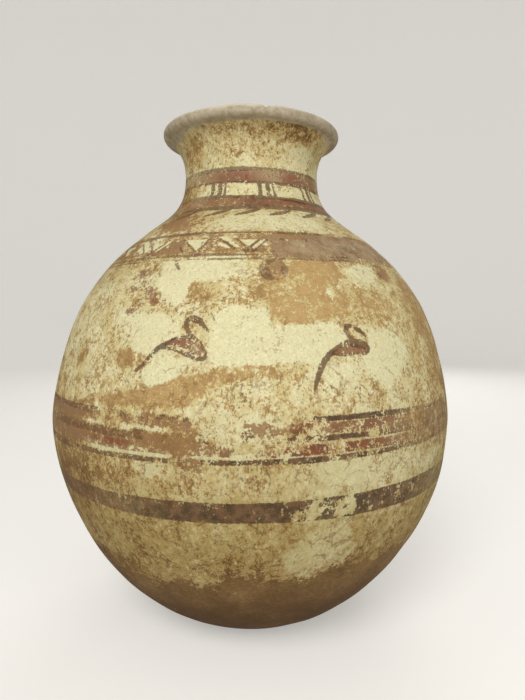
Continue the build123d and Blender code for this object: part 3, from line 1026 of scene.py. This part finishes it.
SLIP_PATCHES += unseen_patches(100, 450, -0.55, 0.45)
WARM_PATCHES += unseen_patches(101, 450, -0.3, 0.45)
KEPT_PATCHES += unseen_patches(140, 440, -0.45, 0.15)
WASH_PATCHES += unseen_patches(141, 400, -0.3, 0.6)
GRIME_AND_SHADE_PATCHES += unseen_patches(102, 450, -0.2, 0.5)
BROWNED_PATCHES += unseen_patches(142, 440, -0.3, 0.6)


def by_height(skin, shares):
    """Share at each point of the skin, from pairs of a height and a share."""
    return np.interp(skin.height, *zip(*shares))


def slip_edge(skin):
    """Height of the ragged lower edge of the slip."""
    angles, heights = zip(*SLIP_EDGE)
    seen = np.interp(skin.angle, angles, heights)
    unseen = heights[0] + wobble(skin.angle, EDGE_WANDER, SLIP_TURN)
    return np.where(np.abs(skin.angle) < angles[-1], seen, unseen) + EDGE_RAGGED * uneven(skin)


def inside_of(gap):
    """Share from 0 outside to 1 inside an edge that is a distance."""
    return np.clip(0.5 - gap / PAINT_EDGE, 0, 1)


def paint_piece(piece):
    """Put the brushwork and the wear on a piece as values at its points."""
    mesh = piece.data
    skin = skin_of(mesh)
    share = np.empty(len(mesh.vertices), np.float32)
    mesh.attributes["inside"].data.foreach_get("value", share)
    inner = share > INNER_FROM

    frieze = inside_of(band_gap(skin, Band(FRIEZE_LOW, FRIEZE_HIGH), FRIEZE_TURN))
    pale = inside_of(pale_gap(skin)) * frieze
    slipped = np.interp(skin.height - slip_edge(skin), *zip(*SLIP_FADE))
    cover = by_height(skin, SLIP_SHARES) * slipped - BARE_BELOW * (1 - slipped)
    cover += laid(skin, SLIP_AREAS) + patched(skin, SLIP_PATCHES) + PALE_SLIP * pale
    warmth = by_height(skin, WARM_SHARES) + patched(skin, WARM_PATCHES)
    browned = by_height(skin, BROWNED_SHARES) + patched(skin, BROWNED_PATCHES)
    wash = patched(skin, WASH_PATCHES) + FRIEZE_WASH * frieze * (1 - pale) + laid(skin, WASH_AREAS)
    grime_and_shade = by_height(skin, GRIME_AND_SHADE_SHARES) + patched(skin, GRIME_AND_SHADE_PATCHES)
    values = {
        "slip_cover": np.where(inner, 0.0, cover),
        "slip_softness": by_height(skin, SOFT_SHARES),
        "clay_warmth": np.where(inner, INSIDE_WARMTH, warmth),
        "paint_kept": by_height(skin, KEPT_SHARES) + patched(skin, KEPT_PATCHES) + laid(skin, KEPT_AREAS),
        "paint_body": by_height(skin, BODY_SHARES) + patched(skin, BODY_PATCHES),
        "paint_browned": np.clip(browned, 0, 1),
        "brown_wash": np.where(inner, 0.0, wash),
        "wash_mauve": np.clip(patched(skin, MAUVE_PATCHES), 0, 1),
        "grime_and_shade": np.where(inner, INSIDE_GRIME, grime_and_shade),
        "veined": np.where(inner, 0.0, by_height(skin, VEINED_SHARES)),
        "lip_reach": patched(skin, LIP_PATCHES),
        "dark_gap": np.where(inner, FAR, drawn_gap(skin, DARK_BANDS, DARK_TURN, DARK_MOTIFS)),
        "red_gap": np.where(inner, FAR, drawn_gap(skin, RED_BANDS, RED_TURN, RED_MOTIFS)),
    }
    for name, value in values.items():
        mesh.attributes.new(name, "FLOAT", "POINT").data.foreach_set("value", value.astype(np.float32))


# Colours as they look, from 0 to 255
def colour(red, green, blue):
    """Colour for a socket from the way it looks on a screen."""
    parts = [part / 255 for part in (red, green, blue)]
    return tuple(p / 12.92 if p <= 0.04045 else ((p + 0.055) / 1.055)**2.4 for p in parts) + (1.0,)


CREAM = colour(229, 222, 177)
OLD_CREAM = colour(213, 196, 139)
THIN_SLIP = colour(193, 162, 105)
BROWN_CLAY = colour(117, 86, 45)
TAN_CLAY = colour(163, 131, 82)
ORANGE_CLAY = colour(199, 164, 109)
LIP_CLAY = colour(164, 149, 122)
PALE_LIP = colour(193, 181, 156)
# Pale top of the lip: worn clay and a painted highlight
LIP_EDGE_AND_HIGHLIGHT = colour(222, 213, 193)
RED_PAINT = colour(126, 53, 28)
BROWN_RED = colour(104, 57, 31)
AGED_RED = colour(144, 108, 71)
DARK_PAINT = colour(62, 41, 18)
PURPLE_PAINT = colour(112, 77, 48)
AGED_DARK = colour(120, 85, 51)
WASH = colour(158, 121, 79)
MAUVE_WASH = colour(176, 151, 117)
GREY_WASH = colour(136, 106, 76)
SOIL = colour(98, 77, 42)
FLECK = colour(109, 86, 42)
FRESH_SLIP = colour(242, 233, 192)
VEIN = colour(136, 92, 38)
GRIME_AND_SHADE_TINT = colour(211, 200, 170)
FLOOR = colour(222, 220, 215)
FLOOR_FLECK = colour(220, 218, 213)


# Shader groups for the clay and for what time has done to it, with noise in waves to the metre
WORN_PARTS = [("Patch Scale", 3.0, 0.38), ("Flake Scale", 2.0, 0.32), ("Grain Scale", 2.0, 0.3)]
CLAY_CLOUDS = 26.0
CLOUD_SWING = 0.9
CLAY_STREAKS = 300.0
STREAK_SWING = 0.8
STREAKED_LEVEL = (1.0, 1.0, 2.5)
GRIT_SCALE = 900.0
GRIT_DEPTH = 0.5
SPECKS_UPRIGHT = (1.0, 1.0, 0.6)
SPECK_DRIFT_SCALE = 31.0
SPECK_DRIFT = 0.35
FEWEST_SPECKS = 0.78
SPECKS_BY_SHARE = 0.3
SPECK_EDGE = 0.1
VEIN_BEND = 0.045
VEIN_OPENING_SCALE = 72.0
VEIN_OPENING = (0.43, 0.6)


def worn_layer_group():
    """How deep a thin layer that is left on a given share of the surface is, and its mask."""
    sizes = ["Cover", "Patch Scale", "Flake Scale", "Grain Scale", "Softness"]
    group, given, out = new_group("worn_layer", "ShaderNodeTree", {
        "Place": "Vector", **dict.fromkeys(sizes, "Float"),
    }, {"Mask": "Float", "Hollow": "Float"})
    parts = []
    for scale, detail, weight in WORN_PARTS:
        noise = cloud(group, given["Place"], given[scale], detail, roughness=0.6)
        parts.append(times(group, noise, weight))
    level = wire(group, "ShaderNodeMapRange", {
        "Value": plus(group, *parts), "From Min": 0.4, "From Max": 0.6,
    }).outputs["Result"]
    need = sums(group, "SUBTRACT", 1.0, given["Cover"])
    low = sums(group, "SUBTRACT", need, given["Softness"])
    high = plus(group, need, given["Softness"])
    feed(group, out["Mask"], eased(group, level, low, high))
    feed(group, out["Hollow"], sums(group, "SUBTRACT", need, level))
    return group


def clay_body_group():
    """Colour and grain of the fired clay."""
    group, given, out = new_group("clay_body", "ShaderNodeTree", {
        "Place": "Vector", "Warmth": "Float",
    }, {"Colour": "Color", "Grain": "Float"})
    broad = cloud(group, given["Place"], CLAY_CLOUDS, detail=4.0, roughness=0.6)
    turned = vector_sums(group, "MULTIPLY", given["Place"], STREAKED_LEVEL)
    fine = cloud(group, turned, CLAY_STREAKS, detail=3.0, roughness=0.7)
    shift = plus(group, about_zero(group, broad, CLOUD_SWING), about_zero(group, fine, STREAK_SWING))
    tone = sums(group, "ADD", given["Warmth"], shift, clamp=True)
    low = blended(group, eased(group, tone, 0.0, 0.5), BROWN_CLAY, TAN_CLAY)
    feed(group, out["Colour"], blended(group, eased(group, tone, 0.5, 1.0), low, ORANGE_CLAY))
    grit = cloud(group, given["Place"], GRIT_SCALE, detail=2.0, roughness=0.6)
    feed(group, out["Grain"], plus(group, times(group, grit, GRIT_DEPTH), fine))
    return group


def specks_group():
    """Mask of small scattered specks."""
    group, given, out = new_group("specks", "ShaderNodeTree", {
        "Place": "Vector", "Scale": "Float", "Share": "Float",
    }, {"Mask": "Float"})
    upright = vector_sums(group, "MULTIPLY", given["Place"], SPECKS_UPRIGHT)
    fine = cloud(group, upright, given["Scale"], detail=2.0, roughness=0.6)
    drift = cloud(group, given["Place"], SPECK_DRIFT_SCALE, detail=2.0, roughness=0.6)
    level = plus(group, fine, about_zero(group, drift, SPECK_DRIFT))
    edge = sums(group, "SUBTRACT", FEWEST_SPECKS, times(group, given["Share"], SPECKS_BY_SHARE))
    feed(group, out["Mask"], eased(group, level, edge, plus(group, edge, SPECK_EDGE)))
    return group


def veins_group():
    """Mask of wandering cracks that soil has filled, open in some places only."""
    group, given, out = new_group("veins", "ShaderNodeTree", {
        "Place": "Vector", "Scale": "Float", "Width": "Float",
    }, {"Mask": "Float"})
    warp = wire(group, "ShaderNodeTexNoise", {
        "Vector": given["Place"], "Scale": 38.0, "Detail": 5.0, "Roughness": 0.6,
    }).outputs["Color"]
    centred = vector_sums(group, "SUBTRACT", warp, (0.5, 0.5, 0.5))
    shift = vector_sums(group, "SCALE", centred, VEIN_BEND)
    bent = vector_sums(group, "ADD", given["Place"], shift)
    cells = wire(group, "ShaderNodeTexVoronoi", {
        "Vector": bent, "Scale": given["Scale"],
    }, feature="DISTANCE_TO_EDGE").outputs["Distance"]
    line = eased(group, cells, 0.0, given["Width"], 1.0, 0.0)
    openings = cloud(group, given["Place"], VEIN_OPENING_SCALE, detail=3.0, roughness=0.65)
    open_here = eased(group, openings, *VEIN_OPENING)
    feed(group, out["Mask"], times(group, line, open_here))
    return group


WORN_LAYER = worn_layer_group()
CLAY_BODY = clay_body_group()
SPECKS = specks_group()
VEINS = veins_group()


# Values of the finishes: ranges of noise, and how strongly each layer shows
SLIP_WIPED = (1.0, 1.0, 0.84)
SLIP_HOLES = (0.06, 0.5)
SLIP_AGE_SCALE = 58.0
SLIP_AGE = 1.6
FRESH_ABOVE = (0.4, 0.9)
ELSEWHERE = (0.31, 0.17, 0.23)
FRESH_FLECKS = 0.6
MAUVE_SCALE = 75.0
MAUVE_CLOUDS = (0.38, 0.64)
FILM_STRENGTH = 0.9
FLECK_STRENGTH = 0.65
CRACK_STRENGTH = 0.75
DUST_SCALE = 640.0
LIP_WANDER_SCALE = 120.0
LIP_WANDER = 2.4
LIP_WANDER_INSIDE = 12.0
LIP_EDGE_SOFT = 0.8
LIP_SOFT_INSIDE = 6.0
LIP_TONE_SCALE = 130.0
LIP_TONES = (0.35, 0.65)
LIP_WORN_AND_LIT = (RIM_HEIGHT - 5.0, RIM_HEIGHT - 1.0)
LIP_WEAR_AND_HIGHLIGHT = 0.8
GRIME_SCALE = 95.0
STREAK_SCALE = 105.0
RED_STREAKS = (0.42, 0.62)
DARK_STREAKS = (0.4, 0.62)
DARK_FADING = 0.75
PAINT_DRAWN_OUT = (1.0, 1.0, 0.85)
PAINT_RAGGED_SCALE = 520.0
PAINT_RAGGED = 2.6
PAINT_SOFT = 0.4
CLAY_ROUGHNESS = 0.9
LAYERS_SMOOTHER = 0.14
SLIP_DEPTH = 0.5
PAINT_DEPTH = 0.2
GRAIN_DEPTH = 0.4
SKIN_RELIEF = 0.2
BASE_ROUGHNESS = 0.82
SOIL_ROUGHER = 0.1
SOIL_STRENGTH = 0.45
BASE_SPECKS = 0.5
BASE_RELIEF = 0.25
FLOOR_FLECK_SCALE = 3.0
FLOOR_ROUGHNESS = 0.95
FLOOR_GLOW = 0.5


# Materials
def new_material(name):
    material = bpy.data.materials.new(name)
    material.use_nodes = True
    tree = material.node_tree
    shader = next(node for node in tree.nodes if node.type == "BSDF_PRINCIPLED")
    place = tree.nodes.new("ShaderNodeTexCoord").outputs["Object"]
    return material, tree, shader, place


def value_of(tree, name):
    """A value that is kept at the points of the piece."""
    made = wire(tree, "ShaderNodeAttribute", attribute_name=name, attribute_type="GEOMETRY")
    return made.outputs["Fac"]


def raise_skin(tree, shader, height, distance):
    bump = wire(tree, "ShaderNodeBump", {"Height": height, "Strength": 1.0, "Distance": distance})
    feed(tree, shader.inputs["Normal"], bump.outputs["Normal"])


def worn_slip(tree, place, cover, clay):
    """Colour and mask of the cream slip over the clay, thin and stained round its holes."""
    wiped = vector_sums(tree, "MULTIPLY", place, SLIP_WIPED)
    layer = use_group(tree, WORN_LAYER, {
        "Place": wiped, "Cover": cover, "Patch Scale": 78.0, "Flake Scale": 270.0, "Grain Scale": 720.0,
        "Softness": value_of(tree, "slip_softness"),
    })
    ground = blended(tree, eased(tree, layer["Hollow"], *SLIP_HOLES), THIN_SLIP, clay)
    aged = about_zero(tree, cloud(tree, place, SLIP_AGE_SCALE, detail=5.0, roughness=0.7), SLIP_AGE)
    cream = blended(tree, eased(tree, plus(tree, cover, aged), *FRESH_ABOVE), OLD_CREAM, CREAM)
    return blended(tree, layer["Mask"], ground, cream), layer["Mask"]


def fresh_flecks(tree, place, cover, surface):
    """Small flecks where the slip has kept its first colour."""
    elsewhere = vector_sums(tree, "ADD", place, ELSEWHERE)
    fresh = use_group(tree, SPECKS, {
        "Place": elsewhere, "Scale": 290.0, "Share": eased(tree, cover, 0.0, 0.5, start=0.2, end=0.75),
    })["Mask"]
    return blended(tree, times(tree, fresh, FRESH_FLECKS), surface, FRESH_SLIP)


def brown_films(tree, place, surface):
    """Thin films of brown paint, cloudy mauve in places."""
    stain = use_group(tree, WORN_LAYER, {
        "Place": place, "Cover": value_of(tree, "brown_wash"), "Patch Scale": 60.0, "Flake Scale": 190.0,
        "Grain Scale": 480.0, "Softness": 0.13,
    })["Mask"]
    cloudy = cloud(tree, place, MAUVE_SCALE, detail=5.0, roughness=0.75)
    mauve = blended(tree, eased(tree, cloudy, *MAUVE_CLOUDS), MAUVE_WASH, GREY_WASH)
    wash = blended(tree, value_of(tree, "wash_mauve"), WASH, mauve)
    return blended(tree, times(tree, stain, FILM_STRENGTH), surface, wash)


def soiled(tree, place, cover, surface):
    """Dark flecks where the slip is rough, cracks filled with soil, and fine dust."""
    thinning = eased(tree, cover, 0.25, 0.55, start=0.2, end=0.62)
    rough = times(tree, thinning, eased(tree, cover, 0.7, 1.1, start=1.0, end=0.4))
    specks = use_group(tree, SPECKS, {"Place": place, "Scale": 480.0, "Share": rough})["Mask"]
    surface = blended(tree, times(tree, specks, FLECK_STRENGTH), surface, FLECK)
    veins = use_group(tree, VEINS, {"Place": place, "Scale": 60.0, "Width": 0.08})["Mask"]
    cracks = times(tree, veins, value_of(tree, "veined"))
    surface = blended(tree, times(tree, cracks, CRACK_STRENGTH), surface, VEIN)
    fine = cloud(tree, place, DUST_SCALE, detail=3.0, roughness=0.7)
    dust = eased(tree, fine, 0.36, 0.6, start=0.35, end=0.0)
    return blended(tree, dust, surface, GRIME_AND_SHADE_TINT, "MULTIPLY")


def bare_lip(tree, place, surface):
    """The lip left bare above an unsteady line, paler at its top edge from wear and a painted highlight.
    """
    height = height_of(tree, place)
    reach = times(tree, value_of(tree, "lip_reach"), MM)
    inside = value_of(tree, "inside")
    swing = sums(tree, "MULTIPLY_ADD", inside, LIP_WANDER_INSIDE * MM, LIP_WANDER * MM)
    unsteady = about_zero(tree, cloud(tree, place, LIP_WANDER_SCALE, detail=3.0, roughness=0.6), swing)
    soft = (LIP_LINE + LIP_EDGE_SOFT) * MM
    line_end = sums(tree, "MULTIPLY_ADD", inside, LIP_SOFT_INSIDE * MM, soft)
    bare = eased(tree, plus(tree, height, reach, unsteady), LIP_LINE * MM, line_end)
    tone = cloud(tree, place, LIP_TONE_SCALE, detail=5.0, roughness=0.75)
    lip = blended(tree, eased(tree, tone, *LIP_TONES), LIP_CLAY, PALE_LIP)
    # pale top edge: partly wear, partly a painted highlight where the light catches the rim
    worn_and_lit = fade(tree, height, LIP_WORN_AND_LIT, 0.0, LIP_WEAR_AND_HIGHLIGHT)
    return blended(tree, bare, surface, blended(tree, worn_and_lit, lip, LIP_EDGE_AND_HIGHLIGHT))


def grimed_and_shaded(tree, place, surface):
    """Surface dulled by grime that has settled unevenly on it, and darkened by painted shade towards the
    bottom and low on the left.
    """
    clouds = cloud(tree, place, GRIME_SCALE, detail=4.0, roughness=0.7)
    settled = eased(tree, clouds, 0.3, 0.7, start=0.65, end=1.25)
    # this darkening is grime and painted shade, strongest towards the bottom and low on the left
    grime_and_shade = sums(tree, "MULTIPLY", value_of(tree, "grime_and_shade"), settled, clamp=True)
    return blended(tree, grime_and_shade, surface, GRIME_AND_SHADE_TINT, "MULTIPLY")


def paint_colours(tree, place):
    """Red and dark paint, streaked by the brush and browned with age."""
    streak = cloud(tree, place, STREAK_SCALE, detail=4.0, roughness=0.7)
    browned = value_of(tree, "paint_browned")
    red = blended(tree, eased(tree, streak, *RED_STREAKS), RED_PAINT, BROWN_RED)
    dark = blended(tree, eased(tree, streak, *DARK_STREAKS), DARK_PAINT, PURPLE_PAINT)
    faded = times(tree, browned, DARK_FADING)
    return blended(tree, browned, red, AGED_RED), blended(tree, faded, dark, AGED_DARK)


def painted(tree, place, surface):
    """Surface with what is left of the brushwork, red first and dark over it, and the mask of both."""
    drawn_out = vector_sums(tree, "MULTIPLY", place, PAINT_DRAWN_OUT)
    kept = use_group(tree, WORN_LAYER, {
        "Place": drawn_out, "Cover": value_of(tree, "paint_kept"), "Patch Scale": 110.0,
        "Flake Scale": 350.0, "Grain Scale": 760.0, "Softness": 0.14,
    })["Mask"]
    film = sums(tree, "MULTIPLY", kept, value_of(tree, "paint_body"), clamp=True)
    flaked = cloud(tree, place, PAINT_RAGGED_SCALE, detail=2.0, roughness=0.6)
    ragged = about_zero(tree, flaked, PAINT_RAGGED)
    masks = []
    for name, paint in zip(("red_gap", "dark_gap"), paint_colours(tree, place)):
        gap = plus(tree, value_of(tree, name), ragged)
        brushed = eased(tree, gap, -PAINT_SOFT, PAINT_SOFT, start=1.0, end=0.0)
        masks.append(times(tree, brushed, film))
        surface = blended(tree, masks[-1], surface, paint)
    return surface, sums(tree, "MAXIMUM", *masks)


def slipped_clay():
    """Clay under worn cream slip and brushwork."""
    material, tree, shader, place = new_material("slipped_clay")
    cover = value_of(tree, "slip_cover")
    clay = use_group(tree, CLAY_BODY, {"Place": place, "Warmth": value_of(tree, "clay_warmth")})
    surface, slip = worn_slip(tree, place, cover, clay["Colour"])
    surface = fresh_flecks(tree, place, cover, surface)
    surface = brown_films(tree, place, surface)
    surface = soiled(tree, place, cover, surface)
    surface = bare_lip(tree, place, surface)
    surface = grimed_and_shaded(tree, place, surface)
    surface, paint = painted(tree, place, surface)
    feed(tree, shader.inputs["Base Color"], surface)
    smoothed = times(tree, sums(tree, "MAXIMUM", slip, paint), LAYERS_SMOOTHER)
    feed(tree, shader.inputs["Roughness"], sums(tree, "SUBTRACT", CLAY_ROUGHNESS, smoothed))
    layers = plus(tree, times(tree, slip, SLIP_DEPTH), times(tree, paint, PAINT_DEPTH))
    grain = times(tree, clay["Grain"], GRAIN_DEPTH)
    raise_skin(tree, shader, plus(tree, layers, grain), SKIN_RELIEF * MM)
    return material


def bare_clay():
    """Unslipped clay of the base, rubbed by standing."""
    material, tree, shader, place = new_material("bare_clay")
    clay = use_group(tree, CLAY_BODY, {"Place": place, "Warmth": 0.15})
    soil = use_group(tree, WORN_LAYER, {
        "Place": place, "Cover": 0.3, "Patch Scale": 50.0, "Flake Scale": 160.0, "Grain Scale": 480.0,
        "Softness": 0.3,
    })["Mask"]
    surface = blended(tree, times(tree, soil, SOIL_STRENGTH), clay["Colour"], SOIL)
    specks = use_group(tree, SPECKS, {"Place": place, "Scale": 440.0, "Share": 0.45})["Mask"]
    feed(tree, shader.inputs["Base Color"], blended(tree, times(tree, specks, BASE_SPECKS), surface, SOIL))
    feed(tree, shader.inputs["Roughness"], plus(tree, BASE_ROUGHNESS, times(tree, soil, SOIL_ROUGHER)))
    raise_skin(tree, shader, clay["Grain"], BASE_RELIEF * MM)
    return material


def pale_floor():
    """Matt floor, brightened a little where the camera sees it."""
    material, tree, shader, place = new_material("pale_floor")
    fleck = cloud(tree, place, FLOOR_FLECK_SCALE)
    feed(tree, shader.inputs["Base Color"], blended(tree, fleck, FLOOR, FLOOR_FLECK))
    feed(tree, shader.inputs["Roughness"], FLOOR_ROUGHNESS)
    seen = tree.nodes.new("ShaderNodeLightPath").outputs["Is Camera Ray"]
    feed(tree, shader.inputs["Emission Color"], FLOOR)
    feed(tree, shader.inputs["Emission Strength"], times(tree, seen, FLOOR_GLOW))
    return material


# Building the jar
TURNED_CLAY = turning_tree()
SLIPPED_CLAY = slipped_clay()
BARE_CLAY = bare_clay()


def edges_of(name):
    """Heights of a ring's lower edge on the outside and of its upper edge on the inside."""
    low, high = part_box(name)
    return low[2] / MM, high[2] / MM


def build_jar():
    """Every piece of the jar by its node, from the base up."""
    pieces = {}
    section = pad_section(edges_of(RINGS[0])[0])
    pieces["base_pad"] = turn_section("base_pad_clay", section, False, TURNED_CLAY, BARE_CLAY)
    inner_low = edges_of("base_pad")[1]
    for name, above in zip(RINGS, RINGS[1:] + ["rim_lip"]):
        outer_low, inner_high = edges_of(name)
        outer_high, _ = edges_of(above)
        section = ring_section(outer_low, outer_high, inner_low, inner_high)
        pieces[name] = turn_section(name + "_clay", section, True, TURNED_CLAY, SLIPPED_CLAY)
        inner_low = inner_high
    section = lip_section(edges_of("rim_lip")[0], inner_low)
    pieces["rim_lip"] = turn_section("rim_lip_clay", section, True, TURNED_CLAY, SLIPPED_CLAY)
    return pieces


def press(piece):
    """Push the wall in and out where the hand-made jar is not true."""
    mesh = piece.data
    place = places_of(mesh)
    outward = place - np.array([0, 0, BELLY_HEIGHT * MM], np.float32)
    outward /= np.linalg.norm(outward, axis=1)[:, None]
    amount = patched(skin_of(mesh), PRESSED + CHIPS)
    pressed = place + outward * amount[:, None] * MM
    mesh.vertices.foreach_set("co", pressed.astype(np.float32).ravel())
    mesh.update()


for node, piece in build_jar().items():
    if node != "base_pad":
        paint_piece(piece)
        press(piece)
    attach(piece, "root")
    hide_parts(node)


# Floor, lights and camera: the floor in millimetres, lights and camera in metres
FLOOR_RADIUS = 2600.0
FLOOR_BEND = 900.0
BACKDROP_HEIGHT = 2600.0
BEND_STEPS = 24
FLOOR_COLUMNS = 128

Lamp = namedtuple("Lamp", "name place width power")
LAMPS = [
    Lamp("key_light", (-0.5, -1.7, 1.6), 1.1, 29.0),
    Lamp("fill_light", (1.3, -1.5, 0.9), 1.2, 7.0),
    Lamp("back_light", (0.5, 1.9, 1.3), 1.4, 12.0),
]
LAMP_AIM = (0.0, 0.0, 0.25)
SKY_COLOUR = (1.0, 0.99, 0.97, 1.0)
SKY_STRENGTH = 0.3

CAMERA_AWAY = 0.5646
CAMERA_HEIGHT = 0.304
CAMERA_DOWN = 4.14
CAMERA_RIGHT = 1.15
CAMERA_LENS = 27.42
SENSOR_WIDTH = 36.0


def sweep_floor():
    """Pale round floor that turns up into a wall all round."""
    bend = arc((FLOOR_RADIUS, FLOOR_BEND), FLOOR_BEND, -90, 0, BEND_STEPS)
    top = [FLOOR_RADIUS + FLOOR_BEND, BACKDROP_HEIGHT]
    line = np.vstack([[0.0, 0.0], [FLOOR_RADIUS, 0.0], bend[1:], top])
    still = dict.fromkeys(["Lopsided", "Undulation", "Finger Ridges"], 0.0)
    return turn_section("floor", (line, np.zeros(len(line))), False, TURNED_CLAY, pale_floor(),
                        Columns=FLOOR_COLUMNS, **still)


def place_object(name, data, location):
    holder = bpy.data.objects.new(name, data)
    bpy.context.scene.collection.objects.link(holder)
    holder.location = location
    return holder


def hang_lamp(lamp):
    """A round soft lamp that faces the jar and isn't seen itself."""
    light = bpy.data.lights.new(lamp.name, "AREA")
    light.shape = "DISK"
    light.size = lamp.width
    light.energy = lamp.power
    holder = place_object(lamp.name, light, lamp.place)
    holder.visible_camera = False
    holder.rotation_euler = (holder.location - Vector(LAMP_AIM)).to_track_quat("Z", "Y").to_euler()


def studio():
    """Floor, lamps and an even sky."""
    sweep_floor()
    for lamp in LAMPS:
        hang_lamp(lamp)
    world = bpy.data.worlds.new("studio")
    world.use_nodes = True
    sky = next(node for node in world.node_tree.nodes if node.type == "BACKGROUND")
    sky.inputs["Color"].default_value = SKY_COLOUR
    sky.inputs["Strength"].default_value = SKY_STRENGTH
    bpy.context.scene.world = world
    bpy.context.scene.view_settings.view_transform = "Standard"


def camera():
    """Camera where the photograph was taken from."""
    holder = place_object("camera", bpy.data.cameras.new("camera"), (0.0, -CAMERA_AWAY, CAMERA_HEIGHT))
    holder.rotation_euler = (radians(90 - CAMERA_DOWN), 0.0, radians(-CAMERA_RIGHT))
    holder.data.lens = CAMERA_LENS
    holder.data.sensor_width = SENSOR_WIDTH
    bpy.context.scene.camera = holder


studio()
camera()
